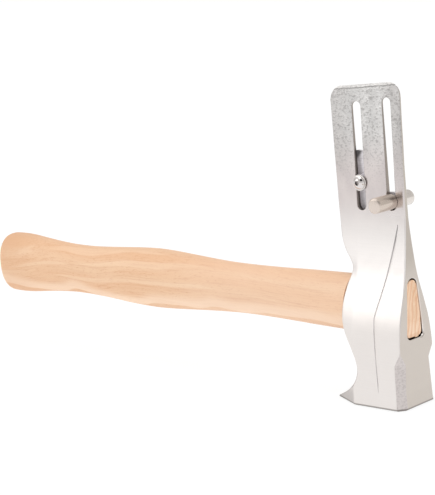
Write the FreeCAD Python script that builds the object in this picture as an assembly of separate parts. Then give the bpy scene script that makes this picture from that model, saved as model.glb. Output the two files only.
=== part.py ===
"""Roofing hatchet with a sliding gauge, in millimetres.

The origin is the centre of the square striking face, which lies in the plane z = 0.
+Z runs up the head to the cutting edge, the handle points to -X and +X is the front.
"""
import FreeCAD, Part
import math
import os

V = FreeCAD.Vector
Y, Z = V(0, 1, 0), V(0, 0, 1)

# ---- driving dimensions -------------------------------------------------------------
poll_side = 32.0                # striking face, 1-1/4 in square
front_x = poll_side / 2         # front face of the head
edge_x = -31.8                  # handle side of the blade at the cutting edge
edge_z_back = 175.6             # cutting edge at its handle-side corner
edge_z_front = 177.1            # and at its front corner
rim_half = 16.6                 # the poll flares a little towards its rim
rim_front_x = 16.6
chamfer_reach_low = 20.6        # of the front corners' chamfers, out from the centre line
chamfer_reach_high = 19.4
chamfer_top_z = 25.0            # above this the chamfers run out to the full corners
chamfer_end_z = 32.0
face_bevel = 0.6                # around the striking face
beak_root_x = -16.9             # the nail beak behind the poll
beak_tip_x = -36.0
beak_tip_half = 6.4
beak_tip_height = 0.5

# blade: a plain taper above taper_z, as half thicknesses
taper_z = 105.0
taper_half = 1.75
edge_root_z = 173.4             # where the ground edge starts
edge_root_half = 0.55
edge_half = 0.2
corner_radius_front = 7.0
corner_radius_back = 8.5

# eye and handle tenon
eye_low_z = 37.6
eye_high_z = 70.9
eye_low_half = 7.2
eye_high_half = 4.6
eye_low_radius = 3.0
tenon_gap_top = 0.9
tenon_gap_bottom = 0.5
tenon_end_x = 15.4
shoulder_gap = 0.15             # between the handle's shoulder and the head

# handle: a straight axis, nearly square to the head
handle_axis_z = 54.3            # height of the axis at x = 0
handle_slope = -0.0105
butt_x = -332.5
butt_round = 10.0
section_count = 32

# slots in the blade
screw_slot_x = -13.9
screw_slot_width = 6.0
screw_slot_z = (107.3, 167.1)
post_slot_x = 6.7
post_slot_width = 5.6
post_slot_z = (108.0, 169.0)

# gauge
play = 0.2                      # free gap between the gauge and the blade's faces
plate_thickness = 2.4
plate_low_z = 106.0
plate_leg_top_z = 117.4
plate_top_z = 140.2
plate_bar_width = 9.2
plate_corner_radius = 1.5
plate_top_slope = 1.2           # the top end falls this far across the bar
plate_margin = 1.2              # of the foot beyond the post
key_margin = 1.2                # of the key's length over the screw's head
key_reach_y = -0.6              # inner end of the key, inside the blade
post_z = 112.9
post_diameter = 8.5
post_neck_diameter = 5.2
post_front_y = -16.9
post_rear_y = 14.2
post_chamfer = 0.7
stud_diameter = 4.2
stud_length = 6.0

# clamp screw: M4 button head with its washer and nut
screw_z = 122.6
screw_diameter = 4.0
screw_head_diameter = 7.6
screw_head_height = 2.2
socket_flats = 2.5
socket_depth = 1.3
washer_diameter = 9.0
washer_thickness = 0.8
nut_flats = 7.0
nut_thickness = 3.2
nut_chamfer = 0.45
screw_point = 0.7               # of the shank beyond the nut
screw_point_chamfer = 0.4
washer_clearance = 0.15         # radial, around the shank
thread_clearance = 0.05         # radial, between the turning screw and its nut


# ---- helpers --------------------------------------------------------------------------
def line(a, b):
    return Part.LineSegment(a, b).toShape()


def arc(a, mid, b):
    return Part.Arc(a, mid, b).toShape()


def curve(points, start=None, end=None):
    """A smooth curve through the points, with its end directions if they are given."""
    spline = Part.BSplineCurve()
    if start and end:
        spline.interpolate(Points=points, InitialTangent=start, FinalTangent=end)
    else:
        spline.interpolate(Points=points)
    return spline.toShape()


def solid_between(edges, direction):
    """A closed outline of edges, extruded along the direction."""
    return Part.Face(Part.Wire(edges)).extrude(direction)


def polygon_solid(points, direction):
    return Part.Face(Part.makePolygon(points + points[:1])).extrude(direction)


def cylinder(radius, x, z, y0, y1):
    """A cylinder along Y from y0 to y1."""
    return Part.makeCylinder(radius, y1 - y0, V(x, y0, z), Y)


def obround(x, width, z_low, z_high, y0, y1):
    """An upright slot shape with round ends, through from y0 to y1."""
    r = width / 2
    low, high = z_low + r, z_high - r
    edges = [line(V(x - r, y0, low), V(x - r, y0, high)),
             arc(V(x - r, y0, high), V(x, y0, z_high), V(x + r, y0, high)),
             line(V(x + r, y0, high), V(x + r, y0, low)),
             arc(V(x + r, y0, low), V(x, y0, z_low), V(x - r, y0, low))]
    return solid_between(edges, V(0, y1 - y0, 0))


# ---- head -----------------------------------------------------------------------------
def side_outline(y):
    """The head seen from the side: beak, poll, front, blade, waist and eye boss."""
    rf, rb = corner_radius_front, corner_radius_back
    bend = math.sqrt(0.5)
    front_low = V(front_x, y, 62)
    front_top = V(front_x + 0.1, y, edge_z_front - rf)
    back_top = V(edge_x, y, edge_z_back - rb)
    edge_front = V(front_top.x - rf, y, edge_z_front)
    edge_back = V(edge_x + rb, y, edge_z_back)
    waist_start = V(-30.6, y, taper_z + 3)
    back = [waist_start, V(-29.3, y, 92), V(-25.4, y, 83), V(-21.2, y, 75.5), V(-23.4, y, 67.5),
            V(-25.7, y, 56), V(-24.1, y, 42.5), V(-17.3, y, 28.5), V(-14.8, y, 20),
            V(-17.4, y, 12), V(-24.3, y, 6.4), V(beak_tip_x, y, beak_tip_height)]
    return [line(V(beak_tip_x, y, beak_tip_height), V(beak_tip_x, y, 0)),
            line(V(beak_tip_x, y, 0), V(rim_front_x, y, 0)),
            line(V(rim_front_x, y, 0), V(front_x, y, 9)),
            line(V(front_x, y, 9), front_low),
            arc(front_low, V(front_x - 0.5, y, 110), front_top),
            arc(front_top, edge_front + V(bend * rf, 0, (bend - 1) * rf), edge_front),
            line(edge_front, edge_back),
            arc(edge_back, edge_back + V(-bend * rb, 0, (bend - 1) * rb), back_top),
            line(back_top, waist_start),
            curve(back, V(0.1, 0, -1), V(-1, 0, -0.5))]


def thickness_outline(x, inset=0.0):
    """The head seen from the front: square poll, swollen eye and tapered blade."""
    half = [(rim_half, 0), (16.1, 8), (15.6, 20), (14.8, 33), (13, 47), (9.3, 60), (5.9, 72),
            (3.7, 85), (2.3, 97), (taper_half, taper_z)]
    right = [V(x, y - inset, z) for y, z in half]
    left = [V(x, -p.y, p.z) for p in reversed(right)]
    slope = (edge_root_half - taper_half) / (edge_root_z - taper_z)
    root_r = V(x, edge_root_half - inset, edge_root_z)
    root_l = V(x, -root_r.y, edge_root_z)
    tip_r = V(x, max(edge_half - inset, 0.05), edge_z_front)
    tip_l = V(x, -tip_r.y, edge_z_front)
    return [line(left[-1], right[0]),
            curve(right, V(0, -0.1, 1), V(0, slope, 1)),
            line(right[-1], root_r), line(root_r, tip_r), line(tip_r, tip_l),
            line(tip_l, root_l), line(root_l, left[0]),
            curve(left, V(0, slope, -1), V(0, -0.1, -1))]


def beak_flanks():
    """The wedges cut off both sides of the beak, which narrows to a blunt tip."""
    wide = rim_half
    run = (wide - beak_tip_half) / (beak_root_x - beak_tip_x)
    far = beak_root_x - 25
    near = [V(beak_root_x, -wide, -1), V(far, -wide + run * 25, -1), V(far, -wide - 5, -1),
            V(beak_root_x, -wide - 5, -1)]
    wedge = polygon_solid(near, V(0, 0, 20))
    return wedge.fuse(wedge.mirror(V(0, 0, 0), Y))


def nail_notch():
    """The V in the beak's end that grips a nail."""
    mouth = 2.3
    points = [V(-37, -mouth, -1), V(-37, mouth, -1), V(-26, 0.5, -1), V(-26, -0.5, -1)]
    return polygon_solid(points, V(0, 0, 12))


def front_chamfers():
    """The chamfers of the poll's two front corners, which run out below the eye."""
    out = V(1, -1, 0).normalize()
    along = V(1, 1, 0).normalize()
    start = along * -15
    corner_reach = (front_x + 14.8) / math.sqrt(2)
    beyond = corner_reach + (corner_reach - chamfer_reach_high)
    beyond_z = chamfer_end_z + (chamfer_end_z - chamfer_top_z)
    section = [out * chamfer_reach_low, out * chamfer_reach_high + Z * chamfer_top_z,
               out * beyond + Z * beyond_z, out * beyond]
    wedge = polygon_solid([start + p for p in section], along * 40)
    return wedge.fuse(wedge.mirror(V(0, 0, 0), Y))


def spread(points, distance):
    """The flat outline with every side moved outward; its points run anticlockwise."""
    moved = []
    for i, point in enumerate(points):
        before = (point - points[i - 1]).normalize()
        after = (points[(i + 1) % len(points)] - point).normalize()
        out_before, out_after = before.cross(Z), after.cross(Z)
        reach = distance / (1 + out_before.dot(out_after))
        moved.append(point + (out_before + out_after) * reach)
    return moved


def bevelled_base():
    """A block that spreads at 45 degrees from the striking face, whose rim it bevels.

    It stands clear of the beak, which keeps its sharp edges.
    """
    reach = chamfer_reach_low * math.sqrt(2)
    half = [V(beak_tip_x - 2, -beak_tip_half - 1, 0), V(beak_root_x - 1, -rim_half, 0),
            V(reach - rim_half, -rim_half, 0), V(rim_front_x, rim_front_x - reach, 0)]
    rim = half + [V(p.x, -p.y, 0) for p in reversed(half)]
    low = spread(rim, -face_bevel)
    high = [p + Z * edge_z_front for p in spread(rim, edge_z_front - face_bevel)]
    rings = [low, list(reversed(high))]
    for i in range(len(rim)):
        rings.append([low[i - 1], high[i - 1], high[i], low[i]])
    faces = [Part.Face(Part.makePolygon(ring + ring[:1])) for ring in rings]
    return Part.Solid(Part.Shell(faces))


def cheek_relief():
    """A shallow kite-shaped panel in each cheek."""
    depth = 0.4
    kite = [V(10.4, -25, 101), V(4.4, -25, 46), V(0.3, -25, 9), V(-2.4, -25, 50)]
    kite_bar = polygon_solid(kite, V(0, 50, 0))
    outer = solid_between(thickness_outline(-40), V(80, 0, 0))
    inner = solid_between(thickness_outline(-41, depth), V(82, 0, 0))
    return outer.cut(inner).common(kite_bar)


def eye_half(z):
    """Half the eye's width between its straight sides."""
    z_low, z_high = eye_low_z + eye_low_radius, eye_high_z - eye_high_half
    return eye_low_half + (eye_high_half - eye_low_half) * (z - z_low) / (z_high - z_low)


def eye_outline(x, gap_top=0.0, gap_bottom=0.0):
    """The eye: straight sides, an arched top and a round-cornered bottom.

    The gaps shorten it at its top and bottom, on the same two sides.
    """
    low, high = eye_low_z + gap_bottom, eye_high_z - gap_top
    r = eye_low_radius
    spring_low = V(x, eye_half(low + r), low + r)
    spring_high = V(x, eye_half(high - eye_high_half), high - eye_high_half)
    mirror_low = V(x, -spring_low.y, spring_low.z)
    mirror_high = V(x, -spring_high.y, spring_high.z)
    flat = spring_low.y - r
    bend = r * math.sqrt(0.5)
    return [line(spring_low, spring_high),
            arc(spring_high, V(x, 0, high), mirror_high),
            line(mirror_high, mirror_low),
            arc(mirror_low, V(x, -flat - bend, low + r - bend), V(x, -flat, low)),
            line(V(x, -flat, low), V(x, flat, low)),
            arc(V(x, flat, low), V(x, flat + bend, low + r - bend), spring_low)]


def make_head():
    body = solid_between(side_outline(-20), V(0, 40, 0))
    body = body.common(solid_between(thickness_outline(-45), V(90, 0, 0)))
    body = body.cut(beak_flanks()).cut(front_chamfers()).cut(nail_notch())
    body = body.common(bevelled_base()).cut(cheek_relief())
    body = body.cut(solid_between(eye_outline(-50), V(100, 0, 0)))
    screw_slot = obround(screw_slot_x, screw_slot_width, *screw_slot_z, -10, 10)
    post_slot = obround(post_slot_x, post_slot_width, *post_slot_z, -10, 10)
    return body.cut(screw_slot).cut(post_slot)


# ---- handle ---------------------------------------------------------------------------
def handle_section(x, half_height, half_width):
    """A closed soft oval around the handle's axis, squarer and egg-shaped at the head."""
    centre = handle_axis_z + handle_slope * x
    headward = max(0, 1 + (x + 25) / 70) ** 2
    power = 2 / (2.3 + 0.5 * headward)
    lean = 0.22 * headward
    count = 16
    points = []
    for i in range(count):
        a = 2 * math.pi * i / count
        c, s = math.cos(a), math.sin(a)
        z = half_height * math.copysign(abs(s) ** power, s)
        y = half_width * math.copysign(abs(c) ** power, c) * (1 - lean * z / half_height)
        points.append(V(x, y, centre + z))
    ring = Part.BSplineCurve()
    ring.interpolate(Points=points, PeriodicFlag=True)
    return Part.Wire(ring.toShape())


def grip():
    """The waved grip: butt knob, neck, palm swell, neck and the flare at the head."""
    stations = [V(butt_x, 20.6, 13.8), V(-314, 20.9, 14.4), V(-291, 18.7, 13.0),
                V(-258, 16.6, 11.9), V(-220, 17.7, 12.6), V(-181, 19.4, 13.4),
                V(-147, 17.4, 12.2), V(-100, 15.4, 10.8), V(-60, 15.7, 10.2),
                V(-18, 16.0, 9.2)]
    wave = Part.BSplineCurve()
    wave.interpolate(Points=stations)
    sections = []
    for i in range(section_count):
        share = i / (section_count - 1)
        point = wave.value(wave.FirstParameter + share * (wave.LastParameter - wave.FirstParameter))
        sections.append(handle_section(point.x, point.y, point.z))
    body = Part.makeLoft(sections, True, False)
    butt_edge = [e for e in body.Edges if e.BoundBox.XMax < butt_x + 0.5 and e.Closed]
    return body.makeFillet(butt_round, butt_edge[:1])


def kerf_wedge():
    """The space of the wooden wedge, thick at the front face and thin inside."""
    points = [V(tenon_end_x, 0.2, 0), V(tenon_end_x, 3.2, 0), V(-14, 1.9, 0), V(-14, 1.1, 0)]
    return polygon_solid(points, V(0, 0, 90))


def shoulder_block():
    """Everything in front of the handle's shoulder, which follows the back of the eye."""
    block = solid_between(side_outline(-20), V(0, 40, 0))
    block.translate(V(-shoulder_gap, 0, 0))
    return block


def tenon():
    outline = eye_outline(-30, tenon_gap_top, tenon_gap_bottom)
    prism = solid_between(outline, V(tenon_end_x + 30, 0, 0))
    return prism.common(shoulder_block())


def make_handle():
    return grip().cut(shoulder_block()).fuse(tenon()).cut(kerf_wedge()).removeSplitter()


def make_handle_wedge():
    return tenon().common(kerf_wedge())


# ---- gauge ----------------------------------------------------------------------------
plate_y = taper_half + play      # face of the plate towards the blade


def make_gauge_plate():
    """The L-shaped plate behind the blade, with a key that rides in the screw slot."""
    bar_left = screw_slot_x - plate_bar_width / 2
    bar_right = screw_slot_x + plate_bar_width / 2
    leg_end = post_slot_x + post_diameter / 2 + plate_margin
    inner_corner = V(bar_right, plate_y, plate_leg_top_z)
    points = [V(bar_left, plate_y, plate_low_z), V(leg_end, plate_y, plate_low_z),
              V(leg_end, plate_y, plate_leg_top_z), inner_corner,
              V(bar_right, plate_y, plate_top_z - plate_top_slope),
              V(bar_left, plate_y, plate_top_z)]
    plate = polygon_solid(points, V(0, plate_thickness, 0))
    across = [e for e in plate.Edges if abs(e.tangentAt(e.FirstParameter).y) > 0.99]
    outer = [e for e in across if e.Vertexes[0].Point.distanceToLine(inner_corner, Y) > 1]
    plate = plate.makeFillet(plate_corner_radius, outer)
    half_key = (screw_head_diameter + key_margin) / 2
    key = obround(screw_slot_x, screw_slot_width - 2 * play, screw_z - half_key,
                  screw_z + half_key, key_reach_y, plate_y + plate_thickness / 2)
    plate = plate.fuse(key).removeSplitter()
    bore = screw_diameter / 2 + thread_clearance
    plate = plate.cut(cylinder(bore, screw_slot_x, screw_z, -5, 10))
    return plate.cut(cylinder(post_neck_diameter / 2, post_slot_x, post_z, -5, 10))


def end_chamfered(shape, y, size):
    """Chamfer the round edge of the shape that lies at y."""
    rim = [e for e in shape.Edges if e.Closed and abs(e.CenterOfMass.y - y) < 1e-6]
    largest = max(rim, key=lambda e: e.Length)
    return shape.makeChamfer(size, [largest])


def make_gauge_post_front():
    """The front post, with a neck through the blade and plate and a threaded stud."""
    inner_y = -plate_y
    back_y = plate_y + plate_thickness
    post = cylinder(post_diameter / 2, post_slot_x, post_z, post_front_y, inner_y)
    post = end_chamfered(post, post_front_y, post_chamfer)
    neck = cylinder(post_neck_diameter / 2, post_slot_x, post_z, inner_y, back_y)
    stud = cylinder(stud_diameter / 2, post_slot_x, post_z, back_y, back_y + stud_length)
    return post.fuse([neck, stud]).removeSplitter()


def make_gauge_post_rear():
    """The rear post, screwed on the stud against the plate."""
    back_y = plate_y + plate_thickness
    post = cylinder(post_diameter / 2, post_slot_x, post_z, back_y, post_rear_y)
    post = end_chamfered(post, post_rear_y, post_chamfer)
    bore = stud_diameter / 2 + thread_clearance
    hole = cylinder(bore, post_slot_x, post_z, back_y - 1, back_y + stud_length + 0.5)
    return post.cut(hole)


def hexagon(flats, x, z, y0, y1):
    r = flats / math.sqrt(3)
    corners = [V(x + r * math.cos(math.radians(60 * i)), y0, z + r * math.sin(math.radians(60 * i)))
               for i in range(6)]
    return polygon_solid(corners, V(0, y1 - y0, 0))


def make_clamp_nut():
    """The M4 hexagon nut behind the plate."""
    y0 = plate_y + plate_thickness
    y1 = y0 + nut_thickness
    body = hexagon(nut_flats, screw_slot_x, screw_z, y0, y1)
    corner = nut_flats / math.sqrt(3)
    turned = end_chamfered(cylinder(corner, screw_slot_x, screw_z, y0, y1), y1, nut_chamfer)
    bore = cylinder(screw_diameter / 2 + thread_clearance, screw_slot_x, screw_z, y0 - 1, y1 + 1)
    return body.common(turned).cut(bore)


washer_y = -taper_half           # face of the washer towards the blade, which is thinner here


def make_clamp_washer():
    outer = washer_y - washer_thickness
    disc = cylinder(washer_diameter / 2, screw_slot_x, screw_z, outer, washer_y)
    bore = cylinder(screw_diameter / 2 + washer_clearance, screw_slot_x, screw_z, outer - 1, washer_y + 1)
    return disc.cut(bore)


def make_clamp_screw():
    """The button-head screw with its hexagon socket."""
    seat = washer_y - washer_thickness
    r, h = screw_head_diameter / 2, screw_head_height
    crown = r * 0.45
    top = seat - h
    edges = [line(V(0, seat, 0), V(r, seat, 0)),
             line(V(r, seat, 0), V(r, seat - 0.25, 0)),
             arc(V(r, seat - 0.25, 0), V(r * 0.83, seat - h * 0.72, 0), V(crown, top, 0)),
             line(V(crown, top, 0), V(0, top, 0)),
             line(V(0, top, 0), V(0, seat, 0))]
    head = Part.Face(Part.Wire(edges)).revolve(V(0, 0, 0), Y, 360)
    head.translate(V(screw_slot_x, 0, screw_z))
    tip = plate_y + plate_thickness + nut_thickness + screw_point
    shank = cylinder(screw_diameter / 2, screw_slot_x, screw_z, seat, tip)
    shank = end_chamfered(shank, tip, screw_point_chamfer)
    socket = hexagon(socket_flats, screw_slot_x, screw_z, top - 1, top + socket_depth)
    return head.fuse(shank).removeSplitter().cut(socket)


PIECES = {"head": make_head, "handle": make_handle, "handle_wedge": make_handle_wedge,
          "gauge_plate": make_gauge_plate, "gauge_post_front": make_gauge_post_front,
          "gauge_post_rear": make_gauge_post_rear, "clamp_nut": make_clamp_nut,
          "clamp_washer": make_clamp_washer, "clamp_screw": make_clamp_screw}

os.makedirs("parts", exist_ok=True)
for name, make in PIECES.items():
    piece = make()
    print(name, "valid", piece.isValid(), "solids", len(piece.Solids),
          "volume %.1f mm3" % piece.Volume, piece.BoundBox)
    piece.exportStep("parts/%s.step" % name)
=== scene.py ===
import math
from contextlib import contextmanager

import bmesh
import bpy
import numpy as np
from mathutils import Matrix, Vector, noise


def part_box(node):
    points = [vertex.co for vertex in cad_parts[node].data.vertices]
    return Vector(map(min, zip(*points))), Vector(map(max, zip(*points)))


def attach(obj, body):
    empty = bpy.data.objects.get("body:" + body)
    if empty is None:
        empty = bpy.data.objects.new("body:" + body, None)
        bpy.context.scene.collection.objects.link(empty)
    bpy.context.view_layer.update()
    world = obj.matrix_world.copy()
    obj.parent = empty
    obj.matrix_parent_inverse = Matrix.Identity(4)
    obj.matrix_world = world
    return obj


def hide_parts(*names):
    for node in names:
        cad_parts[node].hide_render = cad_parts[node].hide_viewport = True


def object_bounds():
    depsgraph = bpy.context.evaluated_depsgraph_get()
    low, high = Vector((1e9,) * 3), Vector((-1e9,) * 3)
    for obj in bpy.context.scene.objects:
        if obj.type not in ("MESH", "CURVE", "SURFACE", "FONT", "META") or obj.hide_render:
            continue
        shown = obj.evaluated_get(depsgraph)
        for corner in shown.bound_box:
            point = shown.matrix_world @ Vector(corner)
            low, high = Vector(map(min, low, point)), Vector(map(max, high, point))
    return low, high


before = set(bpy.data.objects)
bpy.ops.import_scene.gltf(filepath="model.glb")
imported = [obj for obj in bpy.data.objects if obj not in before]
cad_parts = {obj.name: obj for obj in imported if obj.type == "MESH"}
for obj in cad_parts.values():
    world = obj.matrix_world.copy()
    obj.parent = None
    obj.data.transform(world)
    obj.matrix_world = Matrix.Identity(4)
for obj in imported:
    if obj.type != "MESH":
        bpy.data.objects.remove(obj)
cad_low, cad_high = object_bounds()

MM = 0.001


def box_mm(node):
    """A CAD node's lowest and highest corners in millimetres."""
    low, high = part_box(node)
    return low / MM, high / MM


head_low, head_high = box_mm("head")
handle_low = box_mm("handle")[0]
plate_low, plate_high = box_mm("gauge_plate")
post_low, post_high = box_mm("gauge_post_front")
rear_low, rear_high = box_mm("gauge_post_rear")
nut_low, nut_high = box_mm("clamp_nut")
washer_low, washer_high = box_mm("clamp_washer")
screw_low, screw_high = box_mm("clamp_screw")


# ---- meshes ----
SLIVER = 0.003  # points nearer to each other than this are merged
FLAT_SIDES = 4  # faces with more corners than this are split
QUARTER = math.pi / 2
TURN = 2 * math.pi


def link(obj):
    """Put an object in the scene."""
    bpy.context.scene.collection.objects.link(obj)
    return obj


def make_object(name, points, faces):
    """A mesh object from points in millimetres."""
    mesh = bpy.data.meshes.new(name)
    mesh.from_pydata((np.array(points, float) * MM).tolist(), [], faces)
    mesh.update()
    return link(bpy.data.objects.new(name, mesh))


def loft(rings, cap_start=True, cap_end=True):
    """Points and faces over closed rings that have the same number of points."""
    count = len(rings[0])
    points = [p for ring in rings for p in ring]
    faces = []
    for row in range(len(rings) - 1):
        for i in range(count):
            a = row * count + i
            b = row * count + (i + 1) % count
            faces.append((a, b, b + count, a + count))
    if cap_start:
        faces.append(tuple(range(count - 1, -1, -1)))
    if cap_end:
        faces.append(tuple(range(len(points) - count, len(points))))
    return points, faces


def extruded(name, plan, levels):
    """A prism on a plan of (x, y) points, between two heights."""
    return make_object(name, *loft([[(x, y, z) for x, y in plan] for z in levels]))


def extruded_along_y(name, outline, levels):
    """A prism with an outline of (x, z) points, between two values of y."""
    return make_object(name, *loft([[(x, y, z) for x, z in outline] for y in levels]))


@contextmanager
def edited(obj):
    """The object's mesh, open for edits that are written back at the end."""
    bm = bmesh.new()
    bm.from_mesh(obj.data)
    yield bm
    bm.to_mesh(obj.data)
    bm.free()


def outward(obj):
    """Turn the faces outward."""
    with edited(obj) as bm:
        bmesh.ops.recalc_face_normals(bm, faces=bm.faces)
    return obj


def merged(obj):
    """Merge the points very near to each other that booleans leave."""
    with edited(obj) as bm:
        bmesh.ops.remove_doubles(bm, verts=bm.verts, dist=SLIVER * MM)
        bmesh.ops.dissolve_degenerate(bm, edges=bm.edges, dist=SLIVER * MM)
    return obj


def unfolded(obj):
    """Split the many-sided faces, and drop the pairs of slivers that lie on each other."""
    with edited(obj) as bm:
        bmesh.ops.triangulate(bm, faces=[f for f in bm.faces if len(f.verts) > FLAT_SIDES])
        bm.verts.index_update()
        same = {}
        for face in bm.faces:
            same.setdefault(frozenset(v.index for v in face.verts), []).append(face)
        folded = [face for faces in same.values() if len(faces) > 1 for face in faces]
        bmesh.ops.delete(bm, geom=folded, context="FACES")
    return obj


def joined(obj, other):
    """Put the other mesh in the same object."""
    with edited(obj) as bm:
        bm.from_mesh(other.data)
    bpy.data.objects.remove(other)
    return obj


def modified(obj, kind, **settings):
    """Turn the result of a modifier with these settings into the object's mesh."""
    modifier = obj.modifiers.new(kind, kind)
    for key, value in settings.items():
        setattr(modifier, key, value)
    depsgraph = bpy.context.evaluated_depsgraph_get()
    result = bpy.data.meshes.new_from_object(obj.evaluated_get(depsgraph))
    obj.modifiers.clear()
    obj.data = result
    return obj


def combine(obj, other, operation):
    """Boolean of obj with other, which is used up."""
    modified(obj, "BOOLEAN", operation=operation, solver="MANIFOLD", material_mode="TRANSFER",
             object=outward(other))
    bpy.data.objects.remove(other)
    return obj


def cut(obj, other):
    """Take the other object out of this one."""
    return combine(obj, other, "DIFFERENCE")


def bevelled(obj, width, degrees, segments):
    """Round every edge sharper than the angle."""
    return modified(obj, "BEVEL", width=width * MM, segments=segments, limit_method="ANGLE",
                    angle_limit=math.radians(degrees))


def shade(obj, degrees=32):
    """Smooth shading, with edges sharper than this left crisp."""
    obj.data.shade_smooth()
    obj.data.set_sharp_from_angle(angle=math.radians(degrees))
    return obj


def spline(points, count, start=None, end=None):
    """Count points on a cubic spline through the points, with end directions if given."""
    p = np.array(points, float)
    t = np.concatenate([[0], np.cumsum(np.linalg.norm(np.diff(p, axis=0), axis=1))])
    h = np.diff(t)
    n = len(p)
    a = np.zeros((n, n))
    b = np.zeros_like(p)
    a[0, 0], a[0, 1], b[0] = 2, 1, 3 * (p[1] - p[0]) / h[0]
    a[-1, -1], a[-1, -2], b[-1] = 2, 1, 3 * (p[-1] - p[-2]) / h[-1]
    if start is not None:
        a[0, 1], a[0, 0], b[0] = 0, 1, np.array(start) / np.linalg.norm(start)
    if end is not None:
        a[-1, -2], a[-1, -1], b[-1] = 0, 1, np.array(end) / np.linalg.norm(end)
    for i in range(1, n - 1):
        a[i, i - 1:i + 2] = h[i], 2 * (h[i - 1] + h[i]), h[i - 1]
        before, after = (p[i] - p[i - 1]) / h[i - 1], (p[i + 1] - p[i]) / h[i]
        b[i] = 3 * (h[i] * before + h[i - 1] * after)
    slope = np.linalg.solve(a, b)
    at = np.linspace(0, t[-1], count)
    k = np.clip(np.searchsorted(t, at, side="right") - 1, 0, n - 2)
    s = ((at - t[k]) / h[k])[:, None]
    step = h[k][:, None]
    return ((2 * s**3 - 3 * s**2 + 1) * p[k] + (s**3 - 2 * s**2 + s) * step * slope[k]
            + (3 * s**2 - 2 * s**3) * p[k + 1] + (s**3 - s**2) * step * slope[k + 1])


def quadratic(a, corner, b, s):
    """The point at share s of a curve from a to b that leans to the corner."""
    return (1 - s)**2 * a + 2 * s * (1 - s) * corner + s * s * b


# ---- head: outline from the side and half thickness from the front ----
SPLINE_POINTS = 400
EDGE_BACK_Z = 175.6  # cutting edge at the handle side
EDGE_FRONT_Z = head_high.z
EDGE_ROOT_Z = 173.4  # foot of the ground edge
TAPER_Z = 105.0  # the blade thins from here up
TILT_Z = 150  # the rings tilt with the cutting edge from here up
CORNER_FRONT = 7.0  # radii of the blade's upper corners
CORNER_BACK = 8.5
CORNER_FRONT_Z = EDGE_FRONT_Z - CORNER_FRONT
CORNER_BACK_Z = EDGE_BACK_Z - CORNER_BACK
BLADE_BACK_X, BLADE_FRONT_X = -31.8, 16.1
FRONT_X = 16.0  # front face above the poll's rim
RIM_HEIGHT = 9
HOLLOW_Z = 62  # the front is slightly hollow from here up
HOLLOW_DEPTH = 0.55
FACE_BEVEL = 0.6
RIM_HALF = 16.6
BLADE_FOOT_HALF = 1.75
EDGE_ROOT_HALF = 0.55
EDGE_HALF = 0.2
BEAK_ROOT_X = -16.9
BEAK_TIP_HALF = 6.4
# heights, and at each of them:
CHAMFER = ([0, 25, 39], [20.6, 19.4, 24.16])  # how far from the axis the poll's chamfer lies
SOFT_EDGE = ([60, 110], [0.4, 0.75])  # how much the front edges above the poll are cut back
WIDE_LEG = ([30, 37], [1.3, 1.0])  # how much wider the chamfer's front leg is
ROUNDING_SHARE = 0.45  # the most of a side that a rounding takes
RING_RADII = [0.35, 0.35, 1.2, 0.6]
RING_COUNTS = [12, 3, 46, 5, 9]
WAIST = [(-30.6, 108), (-29.3, 92), (-25.4, 83), (-21.2, 75.5), (-23.4, 67.5), (-25.7, 56),
         (-24.1, 42.5), (-17.3, 28.5), (-14.8, 20), (-17.4, 12), (-24.3, 6.4), (head_low.x, 0.5)]
SWELL = [(RIM_HALF, 0), (16.1, 8), (15.6, 20), (14.8, 33), (13, 47), (9.3, 60), (5.9, 72),
         (3.7, 85), (2.3, 97), (BLADE_FOOT_HALF, TAPER_Z)]
BLADE_TAPER = (BLADE_FOOT_HALF - EDGE_ROOT_HALF) / (EDGE_ROOT_Z - TAPER_Z)
WAIST_LINE = spline(WAIST, SPLINE_POINTS, (0.1, -1), (-1, -0.5))[::-1]
SWELL_LINE = spline(SWELL, SPLINE_POINTS, (-0.1, 1), (-BLADE_TAPER, 1))


def back_x(z):
    """The head's handle side at a height."""
    if z >= CORNER_BACK_Z:
        rise = min(z - CORNER_BACK_Z, CORNER_BACK)
        return BLADE_BACK_X + CORNER_BACK - math.sqrt(CORNER_BACK**2 - rise**2)
    waist_x, waist_z = WAIST[0]
    if z >= waist_z:
        share = (z - waist_z) / (CORNER_BACK_Z - waist_z)
        return waist_x + share * (BLADE_BACK_X - waist_x)
    return float(np.interp(z, WAIST_LINE[:, 1], WAIST_LINE[:, 0]))


def face_x(z):
    """The head's front side at a height."""
    if z >= CORNER_FRONT_Z:
        rise = min(z - CORNER_FRONT_Z, CORNER_FRONT)
        return BLADE_FRONT_X - CORNER_FRONT + math.sqrt(CORNER_FRONT**2 - rise**2)
    if z >= HOLLOW_Z:
        s = (z - HOLLOW_Z) / (CORNER_FRONT_Z - HOLLOW_Z)
        return FRONT_X + s * (BLADE_FRONT_X - FRONT_X) - 4 * HOLLOW_DEPTH * s * (1 - s)
    rim = head_high.x - min(z, RIM_HEIGHT) / RIM_HEIGHT * (head_high.x - FRONT_X)
    return rim - max(0, FACE_BEVEL - z)


def half_at(z):
    """Half the head's thickness at a height."""
    if z >= TAPER_Z:
        return float(np.interp(z, [TAPER_Z, EDGE_ROOT_Z, EDGE_FRONT_Z],
                               [BLADE_FOOT_HALF, EDGE_ROOT_HALF, EDGE_HALF]))
    return float(np.interp(z, SWELL_LINE[:, 1], SWELL_LINE[:, 0])) - max(0, FACE_BEVEL - z)


def chamfer_leg(z, half):
    """How far the front corner is cut back along each face."""
    reach = np.interp(z, *CHAMFER)
    corner = (face_x(z) + half) / math.sqrt(2)
    softened = np.interp(z, *SOFT_EDGE)
    return max((corner - reach) * math.sqrt(2), min(softened, 0.5 * half))


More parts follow.
